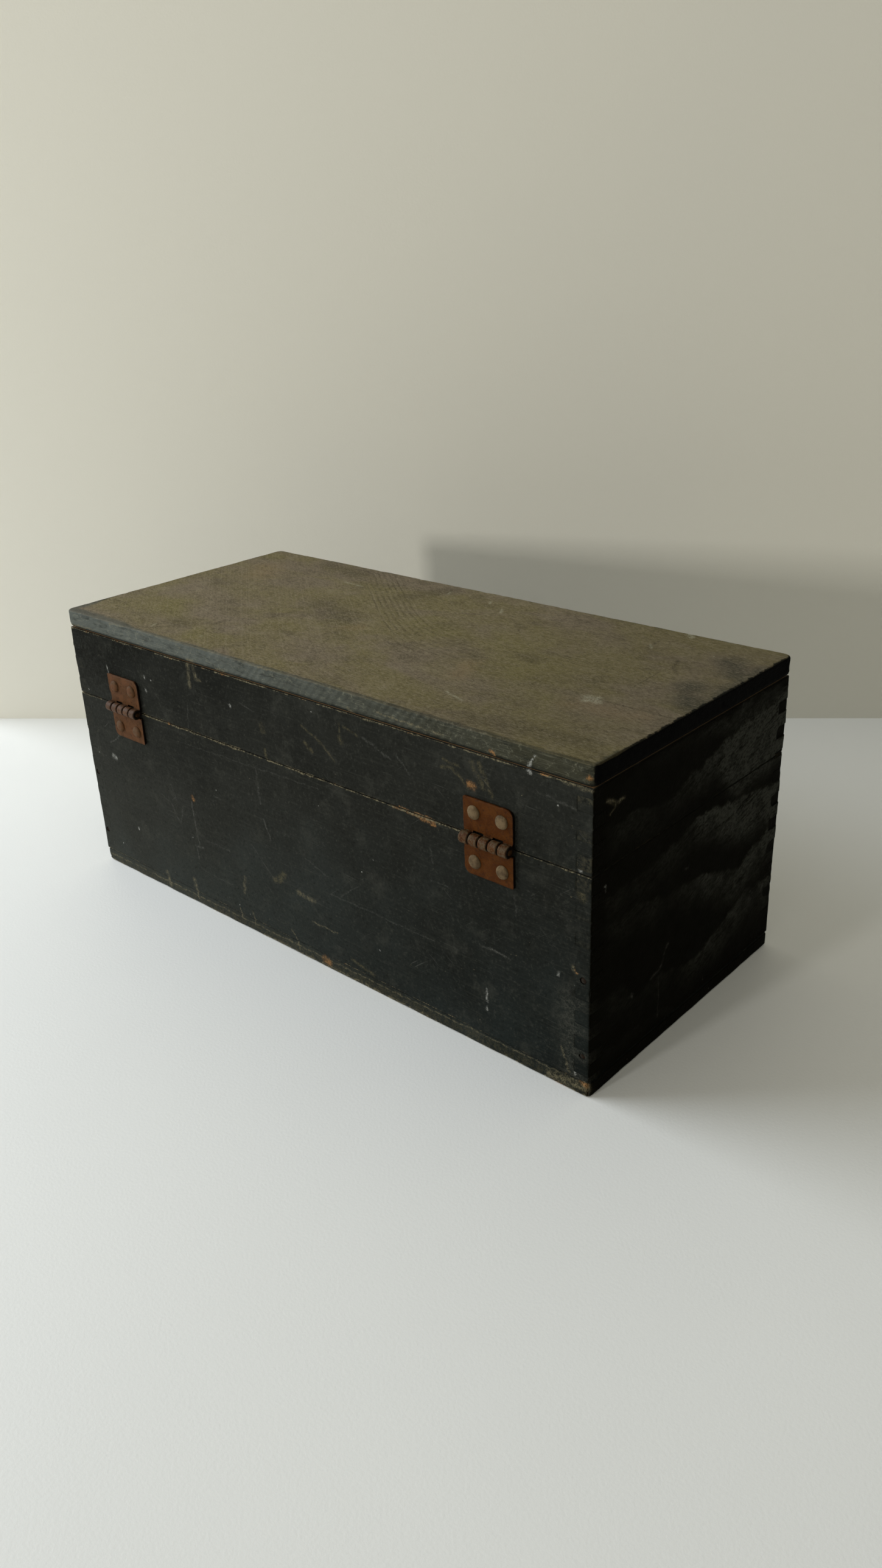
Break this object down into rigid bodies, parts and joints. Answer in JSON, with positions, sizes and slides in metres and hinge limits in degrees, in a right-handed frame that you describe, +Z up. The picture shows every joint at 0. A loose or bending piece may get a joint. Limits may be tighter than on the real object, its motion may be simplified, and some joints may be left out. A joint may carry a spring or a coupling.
{
  "type": "wooden chest",
  "caption": "Small finger-jointed wooden chest for papers and keepsakes, painted dark, with a lid on two butt hinges and a swinging hook catch.",
  "frame": {"origin": "centre of the underside of the bottom board, on the surface that the chest stands on", "axes": "+X along the chest's length to the right as seen from the front, +Y from the front to the hinged back, +Z up"},
  "size_m": [0.341, 0.1633, 0.15],
  "materials": {
    "painted_wood": "satin black-blue paint, worn to bare wood along the edges",
    "worn_top": "faded olive-brown paint, satin, with scuffs and stains",
    "rusty_steel": "sheet steel with an even brown rust film",
    "nail_steel": "grey-brown steel with worn shiny spots"
  },
  "bodies": {
    "box": {"body_back_board": "painted_wood", "body_front_board": "painted_wood", "body_left_end": "painted_wood", "body_right_end": "painted_wood", "bottom_board": "painted_wood", "bottom_nail_back_1": "nail_steel", "bottom_nail_back_2": "nail_steel", "bottom_nail_back_3": "nail_steel", "bottom_nail_back_4": "nail_steel", "bottom_nail_front_1": "nail_steel", "bottom_nail_front_2": "nail_steel", "bottom_nail_front_3": "nail_steel", "bottom_nail_front_4": "nail_steel", "bottom_nail_left_1": "nail_steel", "bottom_nail_left_2": "nail_steel", "bottom_nail_right_1": "nail_steel", "bottom_nail_right_2": "nail_steel", "corner_nail_back_left_1": "nail_steel", "corner_nail_back_left_2": "nail_steel", "corner_nail_back_right_1": "nail_steel", "corner_nail_back_right_2": "nail_steel", "corner_nail_front_left_1": "nail_steel", "corner_nail_front_left_2": "nail_steel", "corner_nail_front_right_1": "nail_steel", "corner_nail_front_right_2": "nail_steel", "hook_plate": "rusty_steel", "hook_plate_tack_1": "nail_steel", "hook_plate_tack_2": "nail_steel", "hook_rivet": "nail_steel", "left_hinge_body_leaf": "rusty_steel", "left_hinge_body_nail_1": "nail_steel", "left_hinge_body_nail_2": "nail_steel", "left_hinge_pin": "nail_steel", "right_hinge_body_leaf": "rusty_steel", "right_hinge_body_nail_1": "nail_steel", "right_hinge_body_nail_2": "nail_steel", "right_hinge_pin": "nail_steel"},
    "lid": {"keeper_plate": "rusty_steel", "keeper_plate_tack_1": "nail_steel", "keeper_plate_tack_2": "nail_steel", "keeper_stud": "nail_steel", "left_hinge_lid_leaf": "rusty_steel", "left_hinge_lid_nail_1": "nail_steel", "left_hinge_lid_nail_2": "nail_steel", "lid_back_board": "painted_wood", "lid_front_board": "painted_wood", "lid_left_end": "painted_wood", "lid_right_end": "painted_wood", "right_hinge_lid_leaf": "rusty_steel", "right_hinge_lid_nail_1": "nail_steel", "right_hinge_lid_nail_2": "nail_steel", "top_board": "worn_top"},
    "hook": {"catch_hook": "rusty_steel"}
  },
  "joints": [
    {"name": "lid_hinge", "type": "hinge", "parent": "box", "child": "lid", "pos_m": [0, 0.0785, 0.1035], "axis": [-1, 0, 0], "range_deg": [0, 180]},
    {"name": "hook_swing", "type": "hinge", "parent": "box", "child": "hook", "pos_m": [0, -0.0755, 0.0935], "axis": [0, -1, 0], "range_deg": [0, 180]}
  ]
}
